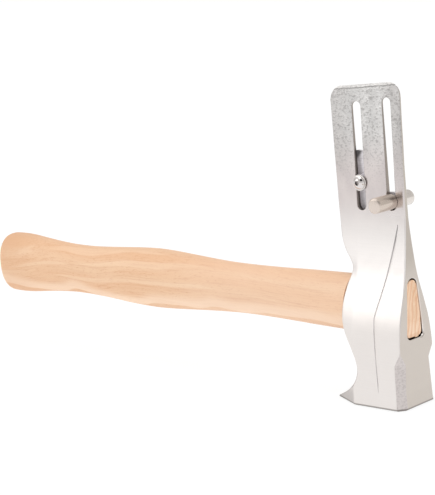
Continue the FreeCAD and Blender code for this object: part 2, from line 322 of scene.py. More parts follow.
def rounded(corners, radius, counts, arc_steps=4):
    """An open outline through the corners, whose inner corners are rounded."""
    corners = [np.array(c, float) for c in corners]
    ends = []
    for i in range(1, len(corners) - 1):
        before, after = corners[i - 1] - corners[i], corners[i + 1] - corners[i]
        lengths = np.linalg.norm(before), np.linalg.norm(after)
        r = min(radius[i - 1], ROUNDING_SHARE * lengths[0], ROUNDING_SHARE * lengths[1])
        ends.append((corners[i] + before / lengths[0] * r, corners[i] + after / lengths[1] * r))
    points, here = [], corners[0]
    for i, count in enumerate(counts):
        there = ends[i][0] if i < len(ends) else corners[-1]
        points += [here + (there - here) * s for s in np.linspace(0, 1, count, endpoint=False)]
        if i < len(ends):
            a, b = ends[i]
            for s in np.linspace(0, 1, arc_steps, endpoint=False):
                points.append(quadratic(a, corners[i + 1], b, s))
            here = b
    return points + [corners[-1]]


def head_ring(height):
    """One level ring of the head; near the top it tilts with the cutting edge."""
    ramp = np.clip((height - TILT_Z) / (EDGE_BACK_Z - TILT_Z), 0, 1)
    rise = (EDGE_FRONT_Z - EDGE_BACK_Z) * ramp * ramp * (3 - 2 * ramp)
    half = half_at(height)
    front, back = face_x(height + rise), back_x(height)
    leg = chamfer_leg(height, half)
    soft = min(1.0, ROUNDING_SHARE * half)
    run = (RIM_HALF - BEAK_TIP_HALF) / (BEAK_ROOT_X - head_low.x)
    flank = BEAK_TIP_HALF + run * (back - head_low.x)
    wide = leg * np.interp(height, *WIDE_LEG)
    corners = [(front, 0), (front, half - wide), (front - leg, half),
               (max(BEAK_ROOT_X, back + soft), half), (back, min(flank, half - soft)), (back, 0)]
    side = rounded(corners, RING_RADII, RING_COUNTS)
    outline = [(x, -y) for x, y in side] + [(x, y) for x, y in reversed(side[1:-1])]
    start_x = BLADE_BACK_X + CORNER_BACK
    span = BLADE_FRONT_X - CORNER_FRONT - start_x
    ring = []
    for x, y in outline:
        z = height + rise * np.clip((x - start_x) / span, 0, 1)
        limit = half_at(z) / half if height > EDGE_ROOT_Z - 4 else 1
        ring.append((x, y * limit, z))
    return ring


def forge(obj, seed, waves):
    """Push the skin in and out by smooth noise: (wavelength, depth, lowest z, full z)."""
    mesh = obj.data
    moved = []
    for v in mesh.vertices:
        p = v.co / MM
        push = 0
        for wavelength, depth, z_none, z_full in waves:
            share = np.clip((p.z - z_none) / (z_full - z_none), 0, 1)
            push += depth * share * noise.noise(p / wavelength + Vector((seed, 0, 0)))
        moved.append(v.co + v.normal * push * MM)
    for v, co in zip(mesh.vertices, moved):
        v.co = co
    mesh.update()


# (depth below the face, distance outside the hole) of a hole's worn rim, from the outside in
RIM_PROFILE = [(-0.4, 0.75), (0.01, 0.3), (0.07, 0.17), (0.17, 0.07), (0.3, 0.015), (0.42, 0)]
# centre x, width, lowest z and highest z
SLOT_LEFT = (-13.9, 6.0, 107.3, 167.1)
SLOT_RIGHT = (6.7, 5.6, 108.0, 169.0)
SLOT_ARC_STEPS = 24
SLOT_SIDE_STEPS = 40


def slot_outline(x, width, z_low, z_high, offset):
    """Points round an upright slot, moved outward by the offset."""
    r = width / 2
    reach, low, high = r + offset, z_low + r, z_high - r
    points = []
    for first, side, centre, other in ((0, -1, high, low), (math.pi, 1, low, high)):
        for i in range(SLOT_ARC_STEPS + 1):
            a = first + math.pi * i / SLOT_ARC_STEPS
            points.append((x + reach * math.cos(a), centre + reach * math.sin(a)))
        for s in np.linspace(0, 1, SLOT_SIDE_STEPS)[1:-1]:
            points.append((x + side * reach, centre + (other - centre) * s))
    return points


def slot_cutter(x, width, z_low, z_high):
    """A slot-shaped tool that flares where it leaves the blade, to round the slot's rim."""
    rings = []
    for side, profile in ((-1, RIM_PROFILE), (1, RIM_PROFILE[::-1])):
        for depth, offset in profile:
            outline = slot_outline(x, width, z_low, z_high, offset)
            rings.append([(px, side * (half_at(pz) - depth), pz) for px, pz in outline])
    return make_object("slot_tool", *loft(rings))


EYE_LOW_Z, EYE_HIGH_Z = 37.6, 70.9
EYE_LOW_HALF, EYE_HIGH_HALF = 7.2, 4.6
EYE_LOW_RADIUS = 3.0
EYE_TOP_STEPS, EYE_SIDE_STEPS, EYE_CORNER_STEPS = 16, 22, 8
EYE_WEAR = 3.4  # how much wider the rim is worn at the lower far corner
EYE_WEAR_DEPTH = 0.35


def eye_outline(offset, gap_low=0.0, gap_high=0.0):
    """Points round the eye, moved outward by the offset."""
    low, high = EYE_LOW_Z + gap_low, EYE_HIGH_Z - gap_high
    spring_low, spring_high = low + EYE_LOW_RADIUS, high - EYE_HIGH_HALF
    level = [EYE_LOW_Z + EYE_LOW_RADIUS, EYE_HIGH_Z - EYE_HIGH_HALF]

    def half(z):
        return float(np.interp(z, level, [EYE_LOW_HALF, EYE_HIGH_HALF]))

    points = []
    for a in np.linspace(0, QUARTER, EYE_TOP_STEPS + 1):
        points.append((math.sin(a) * (half(spring_high) + offset),
                       spring_high + math.cos(a) * (EYE_HIGH_HALF + offset)))
    for z in np.linspace(spring_high, spring_low, EYE_SIDE_STEPS)[1:-1]:
        points.append((half(z) + offset, z))
    flat = half(spring_low) - EYE_LOW_RADIUS
    for a in np.linspace(0, QUARTER, EYE_CORNER_STEPS + 1):
        points.append((flat + math.cos(a) * (EYE_LOW_RADIUS + offset),
                       spring_low - math.sin(a) * (EYE_LOW_RADIUS + offset)))
    points += [(flat * s, low - offset) for s in (0.66, 0.33)]
    return points + [(0, low - offset)] + [(-y, z) for y, z in reversed(points[1:])]


def eye_cutter():
    """The eye-shaped tool, flared at the front and back of the head."""
    rings = []
    for depth, offset in RIM_PROFILE:
        ring = []
        for (y, z), (edge_y, edge_z) in zip(eye_outline(offset), eye_outline(0)):
            worn = EYE_WEAR * np.clip((edge_y - 3) / 3, 0, 1) * np.clip((46 - edge_z) / 4, 0, 1)
            y, z = edge_y + (y - edge_y) * (1 + worn), edge_z + (z - edge_z) * (1 + worn)
            ring.append((face_x(z) - depth * (1 + EYE_WEAR_DEPTH * worn), y, z))
        rings.append(ring)
    for depth, offset in RIM_PROFILE[::-1]:
        rings.append([(back_x(z) + depth, y, z) for y, z in eye_outline(offset)])
    return make_object("eye_tool", *loft(rings))


# (z, x) of the pressed panel's two sides, from its foot over its widest place to its tip
PANEL_LEFT = [(9, 0.3), (50, -2.4), (101, 10.4)]
PANEL_RIGHT = [(9, 0.3), (46, 4.4), (101, 10.4)]
PANEL_LEVELS = np.linspace(9.3, 100.6, 110)
PANEL_DEPTH = ([9, 60], [0.25, 0.55])  # heights, and the step's depth there
PANEL_OUT = 0.35  # how far the tool stands out of the cheek


def relief_cutter(side):
    """The kite-shaped pressed panel of one cheek: deep along its handle side, then shallower."""
    rings = []
    for z in PANEL_LEVELS:
        left = np.interp(z, *zip(*PANEL_LEFT)) - 0.05
        right = np.interp(z, *zip(*PANEL_RIGHT)) + 0.05
        half = half_at(z)
        width = right - left
        deep = np.interp(z, *PANEL_DEPTH)
        section = [(left - 0.1, half + PANEL_OUT), (left, half - deep),
                   (left + 0.2 * width, half - 0.6 * deep),
                   (right, half - 0.12), (right + 0.3, half + PANEL_OUT)]
        rings.append([(x, side * y, z) for x, y in section])
    tool = make_object("relief_tool", *loft(rings))
    tool.data.materials.append(steel)
    # the step's faces take the painted shade
    tool.data.materials.append(panel_step_shade)
    # the first of the section's five sides is the step, and the last two faces are the ends
    for i, face in enumerate(tool.data.polygons[:-2]):
        face.material_index = 1 if i % len(section) == 0 else 0
    return tool


NOTCH_PLAN = [(-37, -2.45), (-37, 2.45), (-26.3, 0.5), (-26, 0), (-26.3, -0.5)]
BEVEL_LEVELS = [0, 0.15, 0.3, 0.45, 0.6, 0.75, 1.0, 1.5]
CORNER_STEPS = 18
HEAD_SEED = 3.0
HEAD_WAVES = [(14, 0.07, 4, 20), (5, 0.04, 4, 20), (3.2, 0.05, 120, 165), (2.2, 0.16, 174.5, 176)]


def make_head():
    """The forging with its panels, eye, slots and nail notch."""
    corner = [EDGE_BACK_Z - CORNER_BACK * (1 - math.sin(a)) for a in np.linspace(0, QUARTER, CORNER_STEPS)]
    levels = BEVEL_LEVELS + list(np.arange(2, corner[0] - 0.5, 1.0)) + corner
    rings = [head_ring(z) for z in levels]
    points, faces = loft(rings, cap_end=False)
    # the cutting edge is closed by faces that reach across its top ring
    count = len(rings[0])
    top = len(points) - count
    across = [(top, top + 1, top + count - 1)]
    for i in range(1, count // 2 - 1):
        across.append((top + i, top + i + 1, top + count - i - 1, top + count - i))
    across.append((top + count // 2 - 1, top + count // 2, top + count // 2 + 1))
    head = outward(make_object("head_forging", points, faces + across))
    forge(head, HEAD_SEED, HEAD_WAVES)
    head.data.materials.append(steel)
    for side in (-1, 1):
        cut(head, relief_cutter(side))
    cut(head, eye_cutter())
    cut(head, slot_cutter(*SLOT_LEFT))
    cut(head, slot_cutter(*SLOT_RIGHT))
    cut(head, extruded("notch_tool", NOTCH_PLAN, (-1, 12)))
    return shade(merged(head))


# ---- handle ----
AXIS_Z = 54.44  # height of the handle's axis at x = 0
AXIS_SLOPE = -0.0091
BUTT_X = handle_low.x + 1.5
BUTT_ROUND = 7.4
TENON_END_X = 15.4
SHOULDER_GAP = 0.15
# x, half height, half width
STATIONS = [(BUTT_X, 19.75, 13.8), (-314, 20.05, 14.4), (-291, 18.1, 13.0), (-258, 15.8, 11.9),
            (-220, 16.95, 12.6), (-181, 18.6, 13.4), (-147, 16.7, 12.2), (-100, 14.8, 10.8),
            (-60, 15.5, 10.2), (-18, 16.0, 9.2)]
STATION_POINTS = 600
GRIP_STEP = 2.0
GRIP_POINTS = 96
# x and how far inside the eye's outline the tenon is there
TENON_STATIONS = [(-35, 1.3), (-26, 1.3), (-21, 0.06), (TENON_END_X - 0.35, 0.06), (TENON_END_X, 0.36)]
TENON_GAP_LOW, TENON_GAP_HIGH = 0.85, 0.9
KERF_PLAN = [(TENON_END_X + 1, 0.12), (TENON_END_X + 1, 3.32), (-14, 1.96), (-14, 1.04)]
HANDLE_SEED = 9.0
HANDLE_WAVES = [(26, 0.12, 0, 10), (9, 0.03, 0, 10)]


def handle_ring(x, half_height, half_width):
    """A closed soft oval around the handle's axis, squarer and egg-shaped at the head."""
    headward = max(0, 1 + (x + 25) / 70) ** 2
    power = 2 / (2.3 + 0.5 * headward)
    lean = 0.22 * headward
    ring = []
    for i in range(GRIP_POINTS):
        a = TURN * i / GRIP_POINTS
        sine, cosine = math.sin(a), math.cos(a)
        z = half_height * math.copysign(abs(sine) ** power, sine)
        y = half_width * math.copysign(abs(cosine) ** power, cosine)
        ring.append((x, y * (1 - lean * z / half_height), AXIS_Z + AXIS_SLOPE * x + z))
    return ring


def make_grip():
    """The bar with its waved outline and rounded butt, which runs on into the head."""
    wave = spline(STATIONS, STATION_POINTS)
    rounding = [BUTT_X + BUTT_ROUND * (1 - math.cos(a)) for a in np.linspace(0, QUARTER, 20)]
    rings = []
    for x in rounding + list(np.arange(BUTT_X + BUTT_ROUND + 2, -10, GRIP_STEP)):
        past = max(0, BUTT_ROUND - (x - BUTT_X))
        inset = BUTT_ROUND - math.sqrt(BUTT_ROUND**2 - past**2)
        height = np.interp(x, wave[:, 0], wave[:, 1]) - inset
        width = np.interp(x, wave[:, 0], wave[:, 2]) - inset
        rings.append(handle_ring(x, height, width))
    butt = np.array(rings[0])
    centre = butt.mean(axis=0)
    inner = [[tuple(centre + (p - centre) * s) for p in butt] for s in (0.15, 0.4, 0.65, 0.87)]
    return make_object("handle_grip", *loft(inner + rings))


def shoulder_tool():
    """Everything in front of the handle's shoulder, which follows the back of the head."""
    levels = np.arange(25, 90, 0.75)
    outline = [(back_x(z) - SHOULDER_GAP, z) for z in levels] + [(40, levels[-1]), (40, levels[0])]
    return extruded_along_y("shoulder_tool", outline, (-40, 40))


def make_tenon():
    """The eye-shaped end, narrower at its lower far corner, where a dark gap shows."""
    rings = []
    for x, inset in TENON_STATIONS:
        ring = []
        for y, z in eye_outline(-inset, TENON_GAP_LOW, TENON_GAP_HIGH):
            shrunk = 0.1 * np.clip((51 - z) / 7, 0, 1) if y > 0 else 0
            ring.append((x, y * (1 - shrunk), z))
        rings.append(ring)
    return make_object("tenon", *loft(rings))


def make_handle():
    """The handle with its shoulder, its tenon and the kerf for the wedge."""
    handle = outward(make_grip())
    forge(handle, HANDLE_SEED, HANDLE_WAVES)
    cut(handle, shoulder_tool())
    combine(handle, make_tenon(), "UNION")
    cut(handle, extruded("kerf_tool", KERF_PLAN, (30, 80)))
    return shade(unfolded(merged(handle)), 40)


# ---- turned pieces ----
LATHE_STEPS = 96
# the (x, z) of two axes along Y
SCREW = ((screw_low.x + screw_high.x) / 2, (screw_low.z + screw_high.z) / 2)
POST = ((post_low.x + post_high.x) / 2, (post_low.z + post_high.z) / 2)
BLADE_HALF = 1.75  # half thickness of the blade at the gauge
PLAY = 0.2  # room between the blade and the gauge plate
SEAT_GAP = 0.012  # keeps the screw's head off the washer, so that they never touch
SOCKET_FLATS = 2.5
SOCKET_DEPTH = 1.3
SCREW_THREAD = (2.0, 0.7)  # radius and pitch
STUD_THREAD = (2.1, 0.8)
STUD_ROOM = 2.2  # radius of the rear post's bore
NECK_RADIUS = 2.6
NECK_ROOM = 2.63
BORE_RADIUS = 2.06  # of the nut and the plate
WASHER_BORE = 2.15
WASHER_ROUND = 0.22


def circle(axis, radius, y, steps=LATHE_STEPS):
    """Points round an axis along Y."""
    x, z = axis
    turns = [TURN * i / steps for i in range(steps)]
    return [(x + radius * math.cos(a), y, z + radius * math.sin(a)) for a in turns]


def turned(name, axis, profile):
    """A piece of revolution about an axis along Y, from (radius, y) points from end to end."""
    return outward(make_object(name, *loft([circle(axis, radius, y) for radius, y in profile])))


def arc_points(centre, radius, first, last, steps=6):
    """(radius, y) points on an arc about the centre, angles in degrees from +radius to +y."""
    angles = np.radians(np.linspace(first, last, steps + 1))
    return [(centre[0] + radius * math.cos(a), centre[1] + radius * math.sin(a)) for a in angles]


def thread(name, axis, major, pitch, y0, y1, steps=64):
    """A threaded shank along Y: the radius follows the turn of a V thread."""
    depth = 0.54 * pitch
    x, z = axis
    rings = []
    for y in np.arange(y0, y1 + 1e-6, pitch / 12):
        fade = min(1, (y - y0) / 0.3 + 0.02, (y1 - y) / 0.6 + 0.02)
        ring = []
        for i in range(steps):
            turn = (y / pitch - i / steps) % 1
            groove = min(1, 1.25 * abs(2 * turn - 1))
            radius = major - depth * (1 - fade) * 0.9 - depth * fade * groove
            a = TURN * i / steps
            ring.append((x + radius * math.cos(a), y, z + radius * math.sin(a)))
        rings.append(ring)
    return outward(make_object(name, *loft(rings)))


def hexagon_prism(name, axis, flats, y0, y1):
    """A hexagonal bar along Y."""
    rings = [circle(axis, flats / math.sqrt(3), y, 6) for y in (y0, y1)]
    return outward(make_object(name, *loft(rings)))


def make_screw():
    """Button head with a hexagon socket, and its threaded shank."""
    seat = washer_low.y - SEAT_GAP
    r, h = (screw_high.x - screw_low.x) / 2, seat - screw_low.y
    crown = seat - h
    dome_radius = (r * r + h * h) / (2 * h)
    rim = arc_points((r - 0.25, seat - 0.25), 0.25, 90, -20, 5)
    reach = math.degrees(math.acos((r - 0.1) / dome_radius))
    dome = arc_points((0, crown + dome_radius), dome_radius, -reach - 1, -84, 16)
    profile = [(1.0, seat)] + rim + dome[1:] + [(0.2, crown + 0.004)]
    screw = turned("clamp_screw_polished", SCREW, profile)
    socket = hexagon_prism("socket_tool", SCREW, SOCKET_FLATS, crown - 1, crown + SOCKET_DEPTH)
    screw.data.materials.append(chrome)
    # the socket's walls take the painted shade
    socket.data.materials.append(socket_shade)
    cut(screw, socket)
    bevelled(screw, 0.12, 40, 3)
    shank = thread("shank", SCREW, *SCREW_THREAD, seat - 0.01, screw_high.y)
    return shade(joined(screw, shank), 30)


def make_washer():
    """A flat ring with rounded edges."""
    r = (washer_high.x - washer_low.x) / 2
    soft = WASHER_ROUND
    inner, outer = WASHER_BORE + soft, r - soft
    y0, y1 = washer_low.y + soft, washer_high.y - soft
    profile = []
    for i, corner in enumerate([(outer, y0), (outer, y1), (inner, y1), (inner, y0)]):
        profile += arc_points(corner, soft, 90 * i - 90, 90 * i, 4)
    rings = [circle(SCREW, radius, y) for radius, y in profile + profile[:1]]
    return shade(outward(make_object("clamp_washer_ring", *loft(rings, False, False))), 35)


def post_profile(y_end, y_inner, radius, direction):
    """(radius, y) from the chamfered end of a post to its inner end."""
    chamfer, soft = 0.7, 0.18
    return [(radius * 0.05, y_end), (radius - chamfer - soft, y_end),
            (radius - chamfer, y_end + direction * soft * 0.35),
            (radius - soft * 0.35, y_end + direction * (chamfer - soft * 0.2)),
            (radius, y_end + direction * (chamfer + soft)),
            (radius, y_inner - direction * 0.12), (radius - 0.12, y_inner)]


def make_post_front():
    """The front post with its neck through the blade and plate, and its threaded stud."""
    radius = (post_high.x - post_low.x) / 2
    back = plate_high.y
    inner = -(BLADE_HALF + 0.05)
    neck = [(NECK_RADIUS, inner), (NECK_RADIUS, back), (2.0, back + 0.01)]
    profile = post_profile(post_low.y, inner, radius, 1) + neck
    post = turned("gauge_post_front_turned", POST, profile)
    stud = thread("stud", POST, *STUD_THREAD, back - 0.02, post_high.y)
    return shade(joined(post, stud), 25)


def make_post_rear():
    """The rear post, bored for the front post's stud."""
    radius = (rear_high.x - rear_low.x) / 2
    bore_end = post_high.y + 0.5
    bore = [(STUD_ROOM, rear_low.y), (STUD_ROOM, bore_end), (0.1, bore_end + 0.5)]
    profile = post_profile(rear_high.y, rear_low.y, radius, -1) + bore
    return shade(turned("gauge_post_rear_turned", POST, profile), 25)


def make_nut():
    """Hexagon nut with turned corners on both faces and a chamfered bore."""
    y0, y1 = nut_low.y, nut_high.y
    flats = nut_high.z - nut_low.z
    r = flats / math.sqrt(3)
    lean = 0.45
    nut = hexagon_prism("clamp_nut_hexagon", SCREW, flats, y0, y1)
    corners = [(flats / 2 - 0.1, y0), (r + 0.05, y0 + lean), (r + 0.05, y1 - lean), (flats / 2 - 0.1, y1)]
    combine(nut, turned("nut_tool", SCREW, corners), "INTERSECT")
    bore = [(2.5, y0 - 0.1), (BORE_RADIUS, y0 + 0.34), (BORE_RADIUS, y1 - 0.34), (2.5, y1 + 0.1)]
    cut(nut, turned("bore_tool", SCREW, bore))
    return shade(bevelled(nut, 0.08, 25, 2), 25)


PLATE_CORNER = 1.5
PLATE_INNER_CORNER = 0.8
PLATE_LEG_TOP = 117.4
PLATE_TOP = 140.2
PLATE_TOP_SLANT = 1.2
BAR_HALF = 4.6
KEY_WIDTH = 5.6
KEY_HALF_LENGTH = 4.4


def make_plate():
    """The L-shaped plate behind the blade with its guide key."""
    y0, y1 = BLADE_HALF + PLAY, plate_high.y
    bar_right = SCREW[0] + BAR_HALF
    outline = [(plate_low.x, plate_low.z), (plate_high.x, plate_low.z), (plate_high.x, PLATE_LEG_TOP),
               (bar_right, PLATE_LEG_TOP), (bar_right, PLATE_TOP - PLATE_TOP_SLANT),
               (plate_low.x, PLATE_TOP)]
    points = []
    for i, (x, z) in enumerate(outline):
        turn = PLATE_INNER_CORNER if (x, z) == (bar_right, PLATE_LEG_TOP) else PLATE_CORNER
        here = np.array((x, z))
        before = np.array(outline[i - 1]) - here
        after = np.array(outline[(i + 1) % len(outline)]) - here
        a = here + before / np.linalg.norm(before) * turn
        b = here + after / np.linalg.norm(after) * turn
        points += [quadratic(a, here, b, s) for s in np.linspace(0, 1, 9)]
    plate = outward(extruded_along_y("gauge_plate_steel", points, (y0, y1)))
    x, z = SCREW
    key = slot_outline(x, KEY_WIDTH, z - KEY_HALF_LENGTH, z + KEY_HALF_LENGTH, 0)
    combine(plate, extruded_along_y("key", key, (plate_low.y, y0 + 0.5)), "UNION")
    cut(plate, turned("bore_tool", SCREW, [(BORE_RADIUS, -5), (BORE_RADIUS, 10)]))
    cut(plate, turned("neck_tool", POST, [(NECK_ROOM, -5), (NECK_ROOM, 10)]))
    return shade(bevelled(plate, 0.22, 30, 3), 30)


# ---- materials ----
def rgb(colour):
    """0-255 screen values as the colour they stand for; anything else stays as it is."""
    if isinstance(colour, tuple) and len(colour) == 3:
        return tuple((c / 255) ** 2.2 for c in colour) + (1.0,)
    return colour


class Nodes:
    """A node tree that is written as a chain of short calls."""

    def __init__(self, tree):
        self.tree = tree

    def put(self, socket, value):
        """Link or set an input."""
        if isinstance(value, bpy.types.NodeSocket):
            self.tree.links.new(value, socket)
        else:
            socket.default_value = value

    def add(self, kind, inputs=None, **settings):
        """A new node with its inputs and settings."""
        made = self.tree.nodes.new(kind)
        for key, value in settings.items():
            setattr(made, key, value)
        for key, value in (inputs or {}).items():
            self.put(made.inputs[key], value)
        return made

    def math(self, operation, a, b=0.0):
        return self.add("ShaderNodeMath", {0: a, 1: b}, operation=operation).outputs[0]

    def vector(self, operation, a, b):
        return self.add("ShaderNodeVectorMath", {0: a, 1: b}, operation=operation).outputs[0]

    def plus(self, a, b):
        return self.math("ADD", a, b)

    def minus(self, a, b):
        return self.math("SUBTRACT", a, b)

    def times(self, product, *others):
        for other in others:
            product = self.math("MULTIPLY", product, other)
        return product

    def size(self, value):
        """The value without its sign."""
        return self.math("ABSOLUTE", value)

    def most(self, a, b):
        return self.math("MAXIMUM", a, b)

    def ramp(self, value, low, high, top=1.0):
        """0 below low and top above high, smooth between."""
        inputs = {"Value": value, "From Min": low, "From Max": high, "To Max": top}
        made = self.add("ShaderNodeMapRange", inputs)
        made.interpolation_type = "SMOOTHSTEP"
        return made.outputs[0]

    def rise(self, value, low, high):
        """A ramp between two places in millimetres."""
        return self.ramp(value, low * MM, high * MM)

    def rest(self, share):
        """What the share leaves of 1."""
        return self.minus(1.0, share)

    def fall(self, value, low, high):
        """1 below low and 0 above high, both in millimetres."""
        return self.rest(self.rise(value, low, high))

    def between(self, value, low, full, still, high):
        """1 from full to still, and 0 below low and above high, all in millimetres."""
        return self.times(self.rise(value, low, full), self.fall(value, still, high))


class Material(Nodes):
    """A principled material. A colour in it is an output, or 0-255 screen values."""

    def __init__(self, name):
        self.material = bpy.data.materials.new(name)
        self.material.use_nodes = True
        super().__init__(self.material.node_tree)
        self.place = self.add("ShaderNodeTexCoord").outputs["Object"]

    def noise(self, x, y, z, source=None, detail=3.0, rough=0.55, distort=0.0):
        """Noise with so many cells per metre along each axis."""
        coords = self.vector("MULTIPLY", source or self.place, (x, y, z))
        inputs = {"Vector": coords, "Scale": 1.0, "Detail": detail, "Roughness": rough, "Distortion": distort}
        return self.add("ShaderNodeTexNoise", inputs).outputs[0]

    def mix(self, share, a, b):
        """From a to b by the share."""
        made = self.add("ShaderNodeMix", {"Factor": share, 6: rgb(a), 7: rgb(b)}, data_type="RGBA")
        return made.outputs[2]

    def cover(self, tone, colour, share, strength):
        """Lay a colour over the tone where the share is, this strongly."""
        return self.mix(self.times(share, strength), tone, colour)

    def axes(self, source=None):
        made = self.add("ShaderNodeSeparateXYZ", {0: source or self.place})
        return made.outputs[0], made.outputs[1], made.outputs[2]

    def facing(self):
        """The parts of the surface's direction along each axis."""
        return self.axes(self.add("ShaderNodeNewGeometry").outputs["Normal"])

    def bump(self, height, distance, strength=1.0, normal=None):
        inputs = {"Height": height, "Distance": distance * MM, "Strength": strength}
        if normal is not None:
            inputs["Normal"] = normal
        return self.add("ShaderNodeBump", inputs).outputs[0]

    def finish(self, **values):
        shader = self.tree.nodes["Principled BSDF"]
        for key, value in values.items():
            self.put(shader.inputs[key.replace("_", " ")], value)
        return self.material


BLADE_TOP = (125, 155)  # the heights where the blade's grey top starts and is full
BLADE_MIDDLE_X = -7
EYE_LEAN = 0.101  # the eye's sides lean in by this much per height
EDGE_SLOPE = 0.046  # the ground edge rises by this much toward the front


def cheek_tone(m, place, peel):
    """Cheeks with a painted highlight, a browner blade and a grey pitted blade top."""
    x, y, z = place
    cloud = m.noise(45, 45, 30, detail=2)
    patch = m.ramp(m.noise(95, 95, 60, detail=2), 0.3, 0.7)
    lower = m.mix(cloud, (226, 221, 218), (232, 227, 224))
    # painted highlight: the cheek is mixed palest from z 70 to 82, and less bright below and above
    tone = m.mix(m.rise(z, 44, 70), lower, (240, 236, 234))
    tone = m.mix(m.rise(z, 82, 98), tone, (229, 225, 223))
    tone = m.mix(m.rise(z, 92, 118), tone, m.mix(patch, (205, 197, 196), (214, 206, 204)))
    tone = m.mix(m.rise(z, *BLADE_TOP), tone, m.mix(patch, (196, 195, 194), (216, 215, 214)))
    from_middle = m.size(m.plus(x, -BLADE_MIDDLE_X * MM))
    sides = m.times(m.rise(from_middle, 9, 20), m.rise(z, 118, 140))
    tone = m.cover(tone, (176, 172, 170), sides, 0.4)
    pits = m.times(m.ramp(peel, 0.5, 0.64), m.rise(z, 110, 155))
    return m.cover(tone, (142, 139, 138), pits, 0.58)


def front_tone(m, tone, place, facing, peel):
    """Painted shade on the front face, deeper above the eye, and the poll's speckled chamfers."""
    z, nx = place[2], facing[0]
    # painted shade: the front face is mixed darker than the cheeks, and darker again above the eye
    front = m.mix(m.rise(z, 70, 85), (207, 199, 191), (192, 184, 175))
    poll = m.fall(z, 31.8, 32.8)
    slanted = m.times(poll, m.rest(m.ramp(nx, 0.88, 0.95)))
    speckled = m.mix(m.ramp(peel, 0.4, 0.66), (211, 204, 202), (194, 187, 185))
    front = m.mix(slanted, front, speckled)
    corner = m.times(m.ramp(nx, 0.25, 0.6), poll)
    return m.mix(m.most(corner, m.ramp(nx, 0.72, 0.94)), tone, front)


def back_tone(m, tone, place, facing):
    """The beak, and painted shade on the edges that turn toward the handle."""
    z, nx = place[2], facing[0]
    beak = m.times(m.rest(m.ramp(nx, -0.6, -0.2)), m.fall(z, 16, 24))
    tone = m.mix(beak, tone, (178, 172, 169))
    # painted shade where the handle-side edges round away from the light, above z 68
    turned_edge_shade = m.times(m.ramp(nx, -0.12, -0.42), m.rise(z, 68, 80))
    return m.cover(tone, (176, 173, 171), turned_edge_shade, 0.7)


def slot_wall_tone(m, tone, place, facing):
    """The slots' walls, darker where the plate behind keeps the light out, below z 143.5."""
    x, y, z = place
    inside = m.times(m.between(x, -28.5, -27.5, 12.5, 13.5), m.rise(z, 103, 106))
    walls = m.times(inside, m.ramp(m.size(facing[1]), 0.75, 0.35))
    hidden = m.times(m.fall(z, 141, 143.5), m.fall(x, -3, 0))
    sunk = m.mix(m.rise(y, -1.2, 0.6), (176, 168, 162), (86, 80, 76))
    return m.mix(walls, tone, m.mix(hidden, (152, 143, 136), sunk))


def eye_wall_tone(m, tone, place, facing):
    """Painted shade inside the eye, behind its rim, where the gap round the handle shows."""
    x, y, z = place
    spread = m.plus(m.size(y), m.times(z, EYE_LEAN))
    # painted shade: near black inside the eye, mostly at its low and high ends and deeper in
    eye_gap_shade = m.times(m.fall(spread, 11.6, 11.9), m.between(z, 37.1, 37.4, 71.2, 71.5))
    eye_gap_shade = m.times(eye_gap_shade, m.rest(m.ramp(m.size(facing[0]), 0.3, 0.6)))
    ends = m.most(m.fall(z, 40.5, 42.5), m.rise(z, 67.5, 69.5))
    eye_gap_shade = m.times(eye_gap_shade, m.most(m.fall(x, 14.9, 15.3), ends))
    return m.mix(eye_gap_shade, tone, (48, 43, 40))


def bevel_and_edge_tone(m, tone, place):
    """Painted dark reflection on the striking face's bevel, a dark ragged band at the foot of the ground
    edge, and a paler ground edge above it.
    """
    x, y, z = place
    # painted dark reflection along the striking face's bevel
    tone = m.cover(tone, (128, 122, 118), m.fall(z, 0.6, 1.4), 0.85)
    tilted = m.minus(z, m.times(x, EDGE_SLOPE))
    ragged = m.plus(tilted, m.times(m.noise(420, 420, 60, detail=4), 1.2 * MM))
    tone = m.cover(tone, (120, 118, 117), m.between(ragged, 175.2, 175.6, 175.7, 176.2), 0.75)
    return m.cover(tone, (224, 222, 220), m.rise(ragged, 175.8, 176.3), 0.5)


def head_roughness(m, place, facing):
    """Satin, smoother up the blade, where the post rubs and at the eye's worn corner."""
    x, y, z = place
    broad = m.noise(30, 30, 160)
    rough = m.plus(0.33, m.times(broad, 0.12))
    rough = m.minus(rough, m.times(m.rise(z, *BLADE_TOP), 0.03))
    rubbed = m.times(m.rise(x, 0, 6), m.between(z, 101, 107, 122, 150))
    rough = m.minus(rough, m.times(rubbed, 0.17))
    worn = m.times(m.between(y, 3.5, 4.5, 9.5, 10.5), m.rise(z, 34.5, 35.0), m.rise(z, 45.0, 44.0))
    worn = m.times(worn, m.ramp(facing[0], 0.985, 0.95), m.rise(x, 14.4, 14.8))
    return m.minus(rough, m.times(worn, 0.25))


def head_steel():
    """Satin forged steel."""
    m = Material("forged_satin_steel")
    place, facing = m.axes(), m.facing()
    across = m.noise(60, 60, 1500, detail=4)
    peel = m.noise(700, 700, 950, rough=0.6)
    tone = cheek_tone(m, place, peel)
    tone = front_tone(m, tone, place, facing, peel)
    tone = back_tone(m, tone, place, facing)
    tone = slot_wall_tone(m, tone, place, facing)
    tone = eye_wall_tone(m, tone, place, facing)
    tone = m.cover(tone, (196, 190, 187), m.ramp(across, 0.4, 0.7), 0.05)
    tone = bevel_and_edge_tone(m, tone, place)
    skin = m.times(peel, m.plus(0.08, m.times(m.rise(place[2], *BLADE_TOP), 2.2)))
    bumps = m.bump(skin, 0.16, 0.9, m.bump(across, 0.003, 0.5))
    return m.finish(Base_Color=tone, Metallic=1.0, Roughness=head_roughness(m, place, facing), Normal=bumps)


def panel_step_shade_paint():
    """Painted shade: a flat grey, not metal, for the shade line along the pressed panel's step."""
    m = Material("panel_step_painted_shade")
    tone = m.mix(m.noise(700, 700, 300), (214, 212, 212), (232, 230, 230))
    return m.finish(Base_Color=tone, Metallic=0.1, Roughness=0.6)


SHADE_SLOPE = 1.1  # the painted shade's upper patch starts higher by this much toward the front
